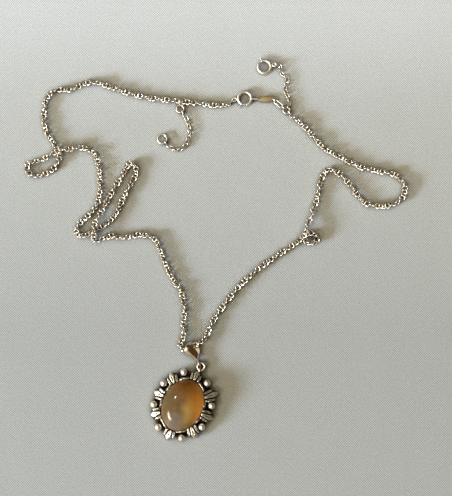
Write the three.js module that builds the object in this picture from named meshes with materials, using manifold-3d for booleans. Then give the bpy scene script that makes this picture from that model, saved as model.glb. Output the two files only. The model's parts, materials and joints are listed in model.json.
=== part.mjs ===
// Pendant necklace: an oval cabochon in a silver frame of leaves and balls, a folded bail, a twisted
// curb chain, a bolt-ring clasp with a tag, and a short safety chain with its own small bolt ring.
// Millimetres, +Z up from the table. The origin is the centre of the pendant's back, on the table.

import * as THREE from 'three';
import { mergeVertices } from 'three/addons/utils/BufferGeometryUtils.js';
import Module from 'manifold-3d';

const wasm = await Module();
wasm.setup();

// ---- Driving dimensions -------------------------------------------------------------------------

const GAP = 0.1;                     // running gap between pieces that are soldered or set

const PENDANT_TILT = -25;            // degrees about +Z, the pendant's long axis against +Y
const STONE = { across: 7.1, along: 9.4, girdle: 1.2, height: 5.3 };
const BEZEL = { clearance: 0.12, wall: 0.55, height: 2.3 };
const PLATE = { across: 10.3, along: 11.5, bump: 0.35, bumps: 16, thickness: 0.9 };
const LEAF = { width: 4.7, thickness: 1.2, tuck: 0.5 };
const LEAF_TIPS = [
  [0, 12.2], [9.1, 8.6], [11.55, 0], [9.1, -8.6], [0, -12.7], [-9.1, -8.6], [-11.55, 0], [-9.1, 8.6],
];
const BEAD = { radius: 1.2, foot: 0.75 };
const BEAD_PLACES = [
  [4.5, 10.5], [9.24, 4.06], [9.24, -4.06], [4.5, -10.5],
  [-4.5, -10.5], [-9.24, -4.06], [-9.24, 4.06], [-4.5, 10.5],
];

const FRAME_LOOP = { outer: 2.1, wire: 0.5, at: [0.2, 13.5, 1.2] };   // in the pendant's own frame
const JUMP_RING = { outer: 3.3, wire: 0.7, at: [6.41, 13.28, 1.2] };

const BAIL_AT = [5.66, 14.34, 0];    // centre of the bail's eye
const BAIL_TURN = 26;                // degrees about +Z, from +X to the way the chain runs through it
const BAIL_EYE = { outer: 2.1, wire: 0.5, along: 0.05, z: 1.25 };
const BAIL = {
  foldAlong: 6.5, foldZ: 1.68, foldOuter: 1.66, foldInner: 1.2,
  tipAlong: 1.75, tipZ: 1.25, tipOuter: 0.55,
  slotAlong: 2.9, slotZ: 1.4, slotInner: 0.15,
  halfWidth: 2.2, tipHalfWidth: 0.5,
  // Stations along the front outline, from the eye to the fold.
  outlineStart: 0.9, waist: 3.2, shoulder: 5.9, crown: 7.3, crownInset: 0.6,
  lean: 0.6,                         // how far the strap leans to its left for each millimetre of height
};

const CHAIN_RADIUS = 0.95;
const LINE_Z = 0.95;                 // height of the chain's centre line and of the clasp line
const OVER = 3.1;                    // height of the upper strand where the chain crosses itself
const TAIL_RADIUS = 0.6;             // the thinner safety chain
const LINK = { wire: 0.4, width: 1.75 };

const CLASP = { at: [21.73, 107.73], outer: 5.6, tube: 0.85, loopAngle: 186.5, nubAngle: 240 };
const SAFETY_CLASP = { at: [28.66, 119.0], outer: 5.5, tube: 0.85, loopAngle: 11.8, nubAngle: 113 };
const BOLT = {
  boreRadius: 0.28, wireRadius: 0.2, loopOuter: 1.8, loopWire: 0.45,
  gapStart: 12, gapEnd: 42, socketEnd: 52, boreStart: -90,
  slotStart: -36, slotEnd: 4, slotWidth: 0.62,
  latchStart: -10, latchEnd: 46, springStart: -88, springEnd: -12,
  nubRadius: 0.24, nubHead: 0.36, nubReach: 1.3, nubHeadThickness: 0.45, nubChamfer: 0.1,
};

const TAG = { at: [29.3, 107.45], turn: 3, length: 5.6, width: 1.8, thickness: 0.5,
              holeRadius: 0.42, holeAlong: 2.15 };
const END_RING = { at: [36.43, 103.53], outer: 2.8, wire: 0.5 };
const SAFETY_RING = { at: [-1.1, 104.0], outer: 3.2, wire: 0.55 };
const SAFETY_END_RING = { at: [-7.4, 93.3], outer: 3.8, wire: 0.6 };

// The links of the fastening line, by distance from the tag's right hole; spans are between wires.
const TAG_LINK = { width: 1.85, fromClaspWire: 0.75 };
const FIRST_LINK = { to: 1.55 };
const OVAL_LINK = { at: 2.875, length: 4.05, width: 1.7 };
const LAST_LINK = { from: 4.2, to: 5.8 };
const HOOK_SPAN = 1.6;               // of an upright link between a ring and a chain
const CLASP_HOOK_SPAN = 2.2;

// The main chain's route from the clasp, down through the bail and back to the end ring, [x, y] or
// [x, y, z]; a point without z lies on the table.
const MAIN_ROUTE = [
  [15.95, 105.5], [10.2, 105.4], [3.2, 106.3], [-4.5, 107.1], [-12.9, 108.1], [-22, 110.5],
  [-29.7, 113.2], [-34.6, 113.2], [-39.5, 110.9], [-45.1, 110.7], [-48.3, 107.7], [-49.3, 102.5],
  [-48.6, 96.5], [-45.5, 91.6], [-43.8, 88.9], [-43.9, 85.7], [-46.5, 82.2], [-50.7, 80.3],
  [-54.4, 81.3], [-54.7, 84.5], [-50.7, 85.6, 1.6], [-47, 87.2, 2.6], [-43.8, 88.9, OVER],
  [-39.5, 89.8, 2], [-34.6, 90.1], [-30.9, 87.4], [-29.6, 82.5], [-29.2, 76.9], [-30.1, 70.6],
  [-33.2, 66.5], [-37.1, 62.6], [-37.1, 59.6], [-33.9, 59.4], [-31, 61.1], [-26.9, 63.3],
  [-23.2, 67.5], [-21, 72.7], [-18.3, 77.6], [-16.5, 82], [-18.6, 84.9], [-21.1, 81.1],
  [-25, 74.5], [-28.1, 68.7, 1.6], [-30.6, 64, 2.8], [-31.1, 61, OVER], [-30.8, 57.3, 1.9],
  [-27.4, 58.4, 1.1], [-24.5, 59.2], [-21.3, 58.3], [-15, 59.5], [-9.9, 57.7], [-7.3, 52.3],
  [-4.7, 45.8], [-0.8, 39.7], [0.4, 33.5], [0.2, 27.2], [0.2, 23.6], [-0.9, 20.9],
  [0.3, 19.0, 1.5], [2.81, 20.18, 1.68], [5.24, 21.36, 1.7], [7.7, 23.2, 1.4],
  [10.5, 29.2], [14.7, 35.3], [20.2, 41.9], [27, 48], [34.5, 53.2], [40.3, 57], [42.6, 59.2],
  [45.5, 60.3], [47.6, 58.2], [45.4, 55.9, 1.5], [42.6, 57, 2.5], [42.4, 59.4, OVER],
  [44.2, 64.2, 1.6], [46.8, 71.3], [48.2, 77.6], [50.4, 82.2], [54.5, 81.4], [59, 76.8],
  [63.7, 71], [70.4, 69.5], [76, 71.3], [78.1, 75.5], [75.8, 80.1], [69.7, 81.8], [62.7, 83.4],
  [55.7, 86.7], [49.4, 90.4], [43.8, 96.7], [38.4, 101.7],
];
const LEFT_TAIL_ROUTE = [
  [0.5, 101.7, 0.9], [1.3, 100.2, 0.7], [1.8, 98.6], [2.2, 96], [1.8, 93.4], [0.7, 91.1],
  [-1, 89.5], [-2.9, 89.7, 0.7], [-5.4, 90.95, 0.9],
];
const RIGHT_TAIL_ROUTE = [
  [37.5, 106.05, 0.9], [37.5, 107.4, 0.7], [36.8, 108.8], [36.2, 110.5], [36.1, 112.1],
  [36.8, 113.7], [36.6, 115.2], [35.3, 116.2], [34.5, 117.3], [34.7, 118.2, 0.7], [34.35, 119.1, 0.9],
];

// ---- Materials ----------------------------------------------------------------------------------

const silver = () => new THREE.MeshStandardMaterial({ color: 0xcfc8b8, roughness: 0.3, metalness: 1 });
const darkSilver = () => new THREE.MeshStandardMaterial({ color: 0x8d8576, roughness: 0.45, metalness: 1 });
const gold = () => new THREE.MeshStandardMaterial({ color: 0xc9a962, roughness: 0.3, metalness: 1 });
const amber = () => new THREE.MeshStandardMaterial({ color: 0x7a4a24, roughness: 0.15, metalness: 0 });
const steel = () => new THREE.MeshStandardMaterial({ color: 0xa9a9a4, roughness: 0.35, metalness: 1 });

// ---- Helpers ------------------------------------------------------------------------------------

const necklace = new THREE.Group();
const deg = THREE.MathUtils.degToRad;

function named(name, geometry, material, group = necklace) {
  const mesh = new THREE.Mesh(geometry, material);
  mesh.name = name;
  group.add(mesh);
  return mesh;
}

function toSolid(geometry) {
  const bare = geometry.index ? geometry.toNonIndexed() : geometry.clone();
  bare.deleteAttribute('normal');
  bare.deleteAttribute('uv');
  const merged = mergeVertices(bare, 1e-5);
  return new wasm.Manifold(new wasm.Mesh({
    numProp: 3,
    vertProperties: Float32Array.from(merged.attributes.position.array),
    triVerts: Uint32Array.from(merged.index.array),
  }));
}

function toGeometry(solid) {
  const mesh = solid.getMesh();
  const geometry = new THREE.BufferGeometry();
  geometry.setAttribute('position', new THREE.BufferAttribute(mesh.vertProperties, 3));
  geometry.setIndex(new THREE.BufferAttribute(mesh.triVerts, 1));
  return geometry;
}

function circlePoints(radius, sides, start = 0) {
  const points = [];
  for (let i = 0; i < sides; i += 1) {
    const angle = start + (2 * Math.PI * i) / sides;
    points.push(new THREE.Vector2(radius * Math.cos(angle), radius * Math.sin(angle)));
  }
  return points;
}

function ellipsePoints(across, along, count, bump = 0, bumps = 0) {
  const points = [];
  for (let i = 0; i < count; i += 1) {
    const angle = (2 * Math.PI * i) / count;
    const grow = bump * Math.cos(bumps * angle);
    points.push(new THREE.Vector2((across + grow) * Math.cos(angle), (along + grow) * Math.sin(angle)));
  }
  return points;
}

function prism(points, bottom, height, hole = null) {
  const shape = new THREE.Shape(points);
  if (hole) shape.holes.push(new THREE.Path(hole));
  const geometry = new THREE.ExtrudeGeometry(shape, { depth: height, bevelEnabled: false });
  geometry.translate(0, 0, bottom);
  return geometry;
}

// A curve through its points whose sections fall on the points themselves.
class Route extends THREE.CatmullRomCurve3 {
  constructor(points, restZ) {
    super(points.map(([x, y, z = restZ]) => new THREE.Vector3(x, y, z)), false, 'catmullrom', 0.5);
  }
  getUtoTmapping(u) {
    return u;
  }
}

class Arc extends THREE.Curve {
  constructor(radius, startDeg, endDeg) {
    super();
    Object.assign(this, { radius, start: deg(startDeg), end: deg(endDeg) });
  }
  getPoint(t, target = new THREE.Vector3()) {
    const angle = this.start + (this.end - this.start) * t;
    return target.set(this.radius * Math.cos(angle), this.radius * Math.sin(angle), 0);
  }
}

function sweep(curve, radius, sides, steps) {
  const section = new THREE.Shape(circlePoints(radius, sides, Math.PI / sides));
  return new THREE.ExtrudeGeometry(section, { steps, extrudePath: curve, bevelEnabled: false });
}

function chainTube(route, radius) {
  return sweep(new Route(route, radius), radius, 8, route.length - 1);
}

function ring({ outer, wire }, sides = 8, steps = 20) {
  return new THREE.TorusGeometry((outer - wire) / 2, wire / 2, sides, steps);
}

// A ring pulled out along X into an oval link with straight sides.
function ovalLink(length, width, wire) {
  const geometry = ring({ outer: width, wire }, 8, 16);
  const stretch = (length - width) / 2;
  const position = geometry.attributes.position;
  for (let i = 0; i < position.count; i += 1) {
    const x = position.getX(i);
    const side = Math.abs(x) < 1e-6 ? 0 : Math.sign(x);
    position.setX(i, x + side * stretch);
  }
  return geometry;
}

// A point at a distance along a compass direction in the table plane.
function step([x, y], angleDeg, distance) {
  return [x + distance * Math.cos(deg(angleDeg)), y + distance * Math.sin(deg(angleDeg))];
}

function headingDeg([ax, ay], [bx, by]) {
  return THREE.MathUtils.radToDeg(Math.atan2(by - ay, bx - ax));
}

// An upright link whose two end wires stand at the points from and to.
function uprightLink(name, from, to, width = LINK.width) {
  const length = Math.hypot(to[0] - from[0], to[1] - from[1]) + LINK.wire;
  const mesh = named(name, ovalLink(length, width, LINK.wire).rotateX(Math.PI / 2), silver());
  mesh.position.set((from[0] + to[0]) / 2, (from[1] + to[1]) / 2, LINE_Z);
  mesh.rotation.z = deg(headingDeg(from, to));
  return mesh;
}

function flatRing(name, spec, z = LINE_Z, material = silver()) {
  const mesh = named(name, ring(spec, 8, 24), material);
  mesh.position.set(spec.at[0], spec.at[1], z);
  return mesh;
}

// ---- Pendant ------------------------------------------------------------------------------------

const pendant = new THREE.Group();
pendant.rotation.z = deg(PENDANT_TILT);
necklace.add(pendant);

const SEAT_Z = PLATE.thickness + GAP;
const bezelInner = { across: STONE.across + BEZEL.clearance, along: STONE.along + BEZEL.clearance };
const bezelOuter = { across: bezelInner.across + BEZEL.wall, along: bezelInner.along + BEZEL.wall };

function makeBackPlate() {
  const outline = ellipsePoints(PLATE.across, PLATE.along, 96, PLATE.bump, PLATE.bumps);
  named('back_plate', prism(outline, 0, PLATE.thickness), darkSilver(), pendant);
}

function makeBezel() {
  const outer = ellipsePoints(bezelOuter.across, bezelOuter.along, 56);
  const inner = ellipsePoints(bezelInner.across, bezelInner.along, 56);
  named('bezel', prism(outer, SEAT_Z, BEZEL.height, inner), silver(), pendant);
}

function makeStone() {
  const foot = SEAT_Z + GAP;
  const profile = [
    new THREE.Vector2(0, foot), new THREE.Vector2(1, foot), new THREE.Vector2(1, foot + STONE.girdle),
  ];
  const rings = 7;
  const dome = STONE.height - STONE.girdle;
  for (let i = 1; i <= rings; i += 1) {
    const rise = (Math.PI / 2) * (i / rings);
    const radius = i === rings ? 0 : Math.cos(rise);
    profile.push(new THREE.Vector2(radius, foot + STONE.girdle + dome * Math.sin(rise)));
  }
  const geometry = new THREE.LatheGeometry(profile, 32).rotateX(Math.PI / 2);
  geometry.scale(STONE.across, STONE.along, 1);
  named('stone', geometry, amber(), pendant);
}

// A three-lobed leaf, its root at the origin and its tip at +Y.
function leafShape(length, width) {
  const shape = new THREE.Shape();
  shape.moveTo(-0.3 * width, 0);
  shape.quadraticCurveTo(-0.56 * width, 0.2 * length, -0.46 * width, 0.62 * length);
  shape.quadraticCurveTo(-0.3 * width, 0.66 * length, -0.2 * width, 0.62 * length);
  shape.quadraticCurveTo(-0.16 * width, 0.86 * length, 0, length);
  shape.quadraticCurveTo(0.16 * width, 0.86 * length, 0.2 * width, 0.62 * length);
  shape.quadraticCurveTo(0.3 * width, 0.66 * length, 0.46 * width, 0.62 * length);
  shape.quadraticCurveTo(0.56 * width, 0.2 * length, 0.3 * width, 0);
  return shape;
}

function makeLeaves() {
  const collet = toSolid(prism(ellipsePoints(bezelOuter.across + GAP, bezelOuter.along + GAP, 56), 0, 8));
  const balls = BEAD_PLACES.map(([x, y]) => {
    const clear = prism(circlePoints(BEAD.radius + GAP, 20), 0, 8);
    return toSolid(clear.translate(x, y, 0));
  });
  LEAF_TIPS.forEach(([x, y], index) => {
    const reach = Math.hypot(x, y);
    const across = Math.abs(x / reach);
    const along = Math.abs(y / reach);
    const edge = 1 / Math.hypot(across / bezelOuter.across, along / bezelOuter.along);
    const root = edge - LEAF.tuck;
    const shape = leafShape(reach - root, LEAF.width);
    const options = { depth: LEAF.thickness, bevelEnabled: false, curveSegments: 5 };
    const geometry = new THREE.ExtrudeGeometry(shape, options);
    geometry.translate(0, root, SEAT_Z);
    geometry.rotateZ(Math.atan2(y, x) - Math.PI / 2);
    let leaf = toSolid(geometry).subtract(collet);
    balls.forEach((ball) => { leaf = leaf.subtract(ball); });
    named(`leaf_${index + 1}`, toGeometry(leaf), silver(), pendant);
  });
}

function makeBeads() {
  const low = Math.asin(-Math.sqrt(1 - (BEAD.foot / BEAD.radius) ** 2));
  const centre = -BEAD.radius * Math.sin(low);
  const profile = [new THREE.Vector2(0, 0)];
  const rings = 6;
  for (let i = 0; i <= rings; i += 1) {
    const rise = low + (Math.PI / 2 - low) * (i / rings);
    const radius = i === rings ? 0 : BEAD.radius * Math.cos(rise);
    profile.push(new THREE.Vector2(radius, centre + BEAD.radius * Math.sin(rise)));
  }
  BEAD_PLACES.forEach(([x, y], index) => {
    const geometry = new THREE.LatheGeometry(profile, 12).rotateX(Math.PI / 2);
    const ball = named(`bead_${index + 1}`, geometry, silver(), pendant);
    ball.position.set(x, y, SEAT_Z);
  });
}

function makeFrameLoop() {
  const loop = named('frame_loop', ring(FRAME_LOOP, 8, 20), silver(), pendant);
  loop.rotation.y = Math.PI / 2;
  loop.position.set(...FRAME_LOOP.at);
}

// ---- Jump ring and bail -------------------------------------------------------------------------

// The outline that wraps two circles: centre and radius of each, on a near-horizontal line.
function wrapCircles([ax, ay], ar, [bx, by], br, count) {
  const axis = Math.atan2(by - ay, bx - ax);
  const open = Math.acos((ar - br) / Math.hypot(bx - ax, by - ay));
  const points = [];
  for (let i = 0; i <= count; i += 1) {
    const angle = axis + open + ((2 * Math.PI - 2 * open) * i) / count;
    points.push(new THREE.Vector2(ax + ar * Math.cos(angle), ay + ar * Math.sin(angle)));
  }
  for (let i = 0; i <= count / 2; i += 1) {
    const angle = axis - open + (2 * open * i) / (count / 2);
    points.push(new THREE.Vector2(bx + br * Math.cos(angle), by + br * Math.sin(angle)));
  }
  return points;
}

function makeBail() {
  const group = new THREE.Group();
  group.position.set(...BAIL_AT);
  group.rotation.z = deg(BAIL_TURN);
  necklace.add(group);

  // The strap seen from the side, in the plane of the fold, stretched across the width.
  const fold = [BAIL.foldAlong, BAIL.foldZ];
  const outside = wrapCircles(fold, BAIL.foldOuter, [BAIL.tipAlong, BAIL.tipZ], BAIL.tipOuter, 20);
  const inside = wrapCircles(fold, BAIL.foldInner, [BAIL.slotAlong, BAIL.slotZ], BAIL.slotInner, 16);
  const strap = prism(outside, -BAIL.halfWidth, 2 * BAIL.halfWidth, inside);
  strap.applyMatrix4(new THREE.Matrix4().makeBasis(
    new THREE.Vector3(0, 1, 0), new THREE.Vector3(0, 0, 1), new THREE.Vector3(1, 0, 0)));

  // Its front outline: a teardrop, broad at the fold and narrow at the eye.
  const front = new THREE.Shape();
  const { halfWidth, tipHalfWidth, crownInset } = BAIL;
  const top = BAIL.foldAlong + BAIL.foldOuter + GAP;
  const waistHalfWidth = tipHalfWidth + 0.2;
  front.moveTo(-tipHalfWidth, BAIL.outlineStart);
  front.quadraticCurveTo(-waistHalfWidth, BAIL.waist, -halfWidth, BAIL.shoulder);
  front.quadraticCurveTo(-halfWidth, BAIL.crown, crownInset - halfWidth, top);
  front.lineTo(halfWidth - crownInset, top);
  front.quadraticCurveTo(halfWidth, BAIL.crown, halfWidth, BAIL.shoulder);
  front.quadraticCurveTo(waistHalfWidth, BAIL.waist, tipHalfWidth, BAIL.outlineStart);
  const outline = new THREE.ExtrudeGeometry(front, { depth: 6, bevelEnabled: false, curveSegments: 6 });
  outline.translate(0, 0, -1);
  const bail = toGeometry(toSolid(strap).intersect(toSolid(outline)));
  bail.applyMatrix4(new THREE.Matrix4().makeShear(0, 0, 0, 0, -BAIL.lean, 0));
  bail.translate(BAIL.lean * BAIL.foldZ, 0, 0);
  named('bail', bail, silver(), group);

  const eye = named('bail_eye', ring(BAIL_EYE, 8, 20), silver(), group);
  eye.rotation.y = Math.PI / 2;
  eye.position.set(0, BAIL_EYE.along, BAIL_EYE.z);
}

// ---- Bolt rings ---------------------------------------------------------------------------------

// A spring ring: a hollow ring with a gap, a wire latch that closes the gap from inside the ring, the
// latch's thumb nub in its slot, a spring behind the latch, and a soldered loop.
function makeBoltRing(prefix, spec) {
  const radius = (spec.outer - spec.tube) / 2;
  const nub = spec.nubAngle;
  const group = new THREE.Group();
  group.position.set(spec.at[0], spec.at[1], LINE_Z);
  necklace.add(group);

  const arc = (from, to) => new Arc(radius, nub + from, nub + to);
  const arcSolid = (r, from, to, sides, steps) => toSolid(sweep(arc(from, to), r, sides, steps));
  const slot = new THREE.Shape();
  slot.absarc(0, 0, radius + spec.tube, deg(nub + BOLT.slotStart), deg(nub + BOLT.slotEnd), false);
  slot.absarc(0, 0, radius, deg(nub + BOLT.slotEnd), deg(nub + BOLT.slotStart), true);
  const slotOptions = { depth: BOLT.slotWidth, bevelEnabled: false, curveSegments: 8 };
  const slotCut = new THREE.ExtrudeGeometry(slot, slotOptions);
  slotCut.translate(0, 0, -BOLT.slotWidth / 2);
  const body = arcSolid(spec.tube / 2, BOLT.gapEnd, 360 + BOLT.gapStart, 10, 32)
    .subtract(arcSolid(BOLT.boreRadius, BOLT.boreStart, BOLT.gapStart + 2, 8, 14))
    .subtract(arcSolid(BOLT.boreRadius, BOLT.gapEnd - 2, BOLT.socketEnd, 8, 4))
    .subtract(toSolid(slotCut));
  named(`${prefix}_body`, toGeometry(body), silver(), group);

  const reach = radius + BOLT.nubReach;
  const headStart = reach - BOLT.nubHeadThickness;
  const peg = new THREE.LatheGeometry([
    new THREE.Vector2(0, radius), new THREE.Vector2(BOLT.nubRadius, radius),
    new THREE.Vector2(BOLT.nubRadius, headStart - BOLT.nubChamfer),
    new THREE.Vector2(BOLT.nubHead, headStart),
    new THREE.Vector2(BOLT.nubHead, reach - BOLT.nubChamfer), new THREE.Vector2(0, reach),
  ], 10);
  peg.rotateZ(deg(nub - 90));
  const latch = arcSolid(BOLT.wireRadius, BOLT.latchStart, BOLT.latchEnd, 8, 9).add(toSolid(peg));
  named(`${prefix}_latch`, toGeometry(latch), silver(), group);
  const coil = sweep(arc(BOLT.springStart, BOLT.springEnd), BOLT.wireRadius, 8, 11);
  named(`${prefix}_spring`, coil, steel(), group);

  const loopRing = ring({ outer: BOLT.loopOuter, wire: BOLT.loopWire }, 8, 18);
  const loop = named(`${prefix}_loop`, loopRing, silver(), group);
  loop.position.set(...step([0, 0], spec.loopAngle, loopDistance(spec)), 0);
}

function loopDistance(spec) {
  return (spec.outer + BOLT.loopOuter + GAP) / 2;
}

function loopCentre(spec) {
  return step(spec.at, spec.loopAngle, loopDistance(spec));
}

// ---- Fastening line: tag, links and end ring ----------------------------------------------------

function tagHole(side) {
  return step(TAG.at, TAG.turn, side * TAG.holeAlong);
}

function makeTag() {
  const half = (TAG.length - TAG.width) / 2;
  const outline = new THREE.Shape();
  outline.absarc(half, 0, TAG.width / 2, -Math.PI / 2, Math.PI / 2, false);
  outline.absarc(-half, 0, TAG.width / 2, Math.PI / 2, (3 * Math.PI) / 2, false);
  for (const side of [-1, 1]) {
    const centre = new THREE.Vector2(side * TAG.holeAlong, 0);
    const hole = circlePoints(TAG.holeRadius, 12).map((point) => point.add(centre));
    outline.holes.push(new THREE.Path(hole));
  }
  const options = { depth: TAG.thickness, bevelEnabled: false, curveSegments: 8 };
  const plate = new THREE.ExtrudeGeometry(outline, options);
  plate.translate(0, 0, -TAG.thickness / 2);
  const mesh = named('tag', plate, gold());
  mesh.position.set(...TAG.at, LINE_Z);
  mesh.rotation.z = deg(TAG.turn);
}

function makeFastening() {
  const toTag = headingDeg(CLASP.at, tagHole(-1));
  const insideClasp = step(CLASP.at, toTag, (CLASP.outer - CLASP.tube) / 2 - TAG_LINK.fromClaspWire);
  uprightLink('tag_link', insideClasp, tagHole(-1), TAG_LINK.width);
  makeTag();

  // From the tag's right hole to the end ring: upright link, flat oval link, upright link.
  const start = tagHole(1);
  const line = headingDeg(start, END_RING.at);
  uprightLink('extension_link_1', start, step(start, line, FIRST_LINK.to));
  const oval = named('extension_link_2', ovalLink(OVAL_LINK.length, OVAL_LINK.width, LINK.wire), silver());
  oval.position.set(...step(start, line, OVAL_LINK.at), LINE_Z);
  oval.rotation.z = deg(line);
  uprightLink('extension_link_3', step(start, line, LAST_LINK.from), step(start, line, LAST_LINK.to));
  flatRing('end_ring', END_RING);
}

// An upright link that hooks a flat ring and leads to the end of a chain.
function ringToChain(name, spec, chainEnd) {
  const heading = headingDeg(spec.at, chainEnd);
  const inside = (spec.outer - spec.wire) / 2 - spec.wire / 2 - LINK.wire / 2 - GAP;
  uprightLink(name, step(spec.at, heading, inside), step(spec.at, heading, inside + HOOK_SPAN));
}

function makeChains() {
  named('main_chain', chainTube(MAIN_ROUTE, CHAIN_RADIUS), darkSilver());
  const claspLoop = loopCentre(CLASP);
  const toChain = headingDeg(claspLoop, MAIN_ROUTE[0]);
  uprightLink('chain_end_link_left', claspLoop, step(claspLoop, toChain, CLASP_HOOK_SPAN));
  ringToChain('chain_end_link_right', END_RING, MAIN_ROUTE.at(-1));

  named('safety_chain_left', chainTube(LEFT_TAIL_ROUTE, TAIL_RADIUS), darkSilver());
  flatRing('safety_ring', SAFETY_RING);
  ringToChain('safety_link_1', SAFETY_RING, LEFT_TAIL_ROUTE[0]);
  flatRing('safety_end_ring', SAFETY_END_RING);
  ringToChain('safety_link_2', SAFETY_END_RING, LEFT_TAIL_ROUTE.at(-1));

  named('safety_chain_right', chainTube(RIGHT_TAIL_ROUTE, TAIL_RADIUS), darkSilver());
  ringToChain('safety_link_3', END_RING, RIGHT_TAIL_ROUTE[0]);
  const safetyLoop = loopCentre(SAFETY_CLASP);
  const toTail = headingDeg(safetyLoop, RIGHT_TAIL_ROUTE.at(-1));
  uprightLink('safety_link_4', safetyLoop, step(safetyLoop, toTail, HOOK_SPAN));
}

makeBackPlate();
makeBezel();
makeStone();
makeLeaves();
makeBeads();
makeFrameLoop();
flatRing('jump_ring', JUMP_RING, JUMP_RING.at[2]);
makeBail();
makeBoltRing('clasp', CLASP);
makeBoltRing('safety_clasp', SAFETY_CLASP);
makeFastening();
makeChains();

export default necklace;
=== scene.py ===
"""Pendant necklace laid out on pale cloth: a leaf-framed amber cabochon on a twisted silver chain.

Lengths in this script are millimetres until a mesh is made; Blender's own units are metres.
"""
import json
import math
import random

import bmesh
import bpy
import numpy as np
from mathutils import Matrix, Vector


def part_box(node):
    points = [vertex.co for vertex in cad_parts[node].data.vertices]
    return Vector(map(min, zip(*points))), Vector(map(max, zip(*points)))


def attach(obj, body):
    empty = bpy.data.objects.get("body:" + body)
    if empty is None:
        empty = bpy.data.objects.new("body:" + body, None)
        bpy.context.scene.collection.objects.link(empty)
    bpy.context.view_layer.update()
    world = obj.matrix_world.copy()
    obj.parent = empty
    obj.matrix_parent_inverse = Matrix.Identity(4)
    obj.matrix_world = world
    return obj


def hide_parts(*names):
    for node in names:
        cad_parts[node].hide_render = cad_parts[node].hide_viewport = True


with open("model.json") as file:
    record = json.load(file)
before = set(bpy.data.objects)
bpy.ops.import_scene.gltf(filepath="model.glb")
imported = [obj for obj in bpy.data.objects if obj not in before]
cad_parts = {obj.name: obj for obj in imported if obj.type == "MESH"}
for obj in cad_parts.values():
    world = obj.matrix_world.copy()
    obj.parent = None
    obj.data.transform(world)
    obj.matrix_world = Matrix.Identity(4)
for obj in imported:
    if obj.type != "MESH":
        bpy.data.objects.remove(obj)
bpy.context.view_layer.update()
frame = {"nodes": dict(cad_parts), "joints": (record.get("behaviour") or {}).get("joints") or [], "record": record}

MM = 0.001
TAU = 2 * math.pi
RECORD = frame["record"]
BODY_OF = {node: body for body, nodes in RECORD["behaviour"]["bodies"].items() for node in nodes}
SLOT_OF = {part["node"]: part["material_slot"] for part in RECORD["subparts"]}
JOINT = {joint["name"]: joint for joint in frame["joints"]}

# ---- Driving dimensions -------------------------------------------------------------------------

CHAIN_RADIUS = 0.95                 # the height of the chain's centre in the CAD
CHAIN_HALF_WIDTH = 1.12             # of the twisted ribbon of links
CHAIN_HALF_THICKNESS = 0.66
CHAIN_PITCH = 1.2                   # from link to link
CHAIN_TWIST = 13.0                  # mean length of one full turn of the ribbon
LINK_LEAN = 0.43                    # radians that every other link leans from the ribbon, to either side
CHAIN_WIRE = 0.2                    # wire radius
TAIL_WIRE = 0.165
TAIL_LINK = (2.1, 1.7)              # a safety-chain link's length and width
TAIL_PITCH = 1.42
OVER = 3.1                          # the upper strand's height in the CAD where the chain crosses itself
HUMP = 0.9                          # how much of that height the real, thinner links need
PENDANT_TILT = math.radians(-25)

# The main chain's route from the clasp through the bail to the end ring: [x, y] or [x, y, z].
MAIN_ROUTE = [
    [15.95, 105.5], [10.2, 105.4], [3.2, 106.3], [-4.5, 107.1], [-12.9, 108.1], [-22, 110.5],
    [-29.7, 113.2], [-34.6, 113.2], [-39.5, 110.9], [-45.1, 110.7], [-48.3, 107.7], [-49.3, 102.5],
    [-48.6, 96.5], [-45.5, 91.6], [-43.8, 88.9], [-43.9, 85.7], [-46.5, 82.2], [-50.7, 80.3],
    [-54.4, 81.3], [-54.7, 84.5], [-50.7, 85.6, 1.6], [-47, 87.2, 2.6], [-43.8, 88.9, OVER],
    [-39.5, 89.8, 2], [-34.6, 90.1], [-30.9, 87.4], [-29.6, 82.5], [-29.2, 76.9], [-30.1, 70.6],
    [-33.2, 66.5], [-37.1, 62.6], [-37.1, 59.6], [-33.9, 59.4], [-31, 61.1], [-26.9, 63.3],
    [-23.2, 67.5], [-21, 72.7], [-18.3, 77.6], [-16.5, 82], [-18.6, 84.9], [-21.1, 81.1],
    [-25, 74.5], [-28.1, 68.7, 1.6], [-30.6, 64, 2.8], [-31.1, 61, OVER], [-30.8, 57.3, 1.9],
    [-27.4, 58.4, 1.1], [-24.5, 59.2], [-21.3, 58.3], [-15, 59.5], [-9.9, 57.7], [-7.3, 52.3],
    [-4.7, 45.8], [-0.8, 39.7], [0.4, 33.5], [0.2, 27.2], [0.2, 23.6], [-0.9, 20.9],
    [0.3, 19.0, 1.5], [2.81, 20.18, 1.68], [5.24, 21.36, 1.7], [7.7, 23.2, 1.4],
    [10.5, 29.2], [14.7, 35.3], [20.2, 41.9], [27, 48], [34.5, 53.2], [40.3, 57], [42.6, 59.2],
    [45.4, 60.0], [47.1, 58.1], [45.3, 56.2, 1.5], [43.1, 57.1, 2.5], [42.6, 59.4, OVER],
    [44.2, 64.2, 1.6], [46.8, 71.3], [48.2, 77.6], [50.4, 82.2], [54.5, 81.4], [59, 76.8],
    [63.7, 71], [70.4, 69.5], [76, 71.3], [78.1, 75.5], [75.8, 80.1], [69.7, 81.8], [62.7, 83.4],
    [55.7, 86.7], [49.4, 90.4], [43.8, 96.7], [38.4, 101.7],
]
LEFT_TAIL_ROUTE = [
    [0.5, 101.7, 0.9], [1.3, 100.2, 0.7], [1.8, 98.6], [2.2, 96], [1.8, 93.4], [0.7, 91.1],
    [-1, 89.5], [-2.9, 89.7, 0.7], [-5.4, 90.95, 0.9],
]
RIGHT_TAIL_ROUTE = [
    [37.5, 106.05, 0.9], [37.5, 107.4, 0.7], [36.8, 108.8], [36.2, 110.5], [36.1, 112.1],
    [36.8, 113.7], [36.6, 115.2], [35.3, 116.2], [34.5, 117.3], [34.7, 118.2, 0.7], [34.35, 119.1, 0.9],
]


# ---- Mesh helpers -------------------------------------------------------------------------------

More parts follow.
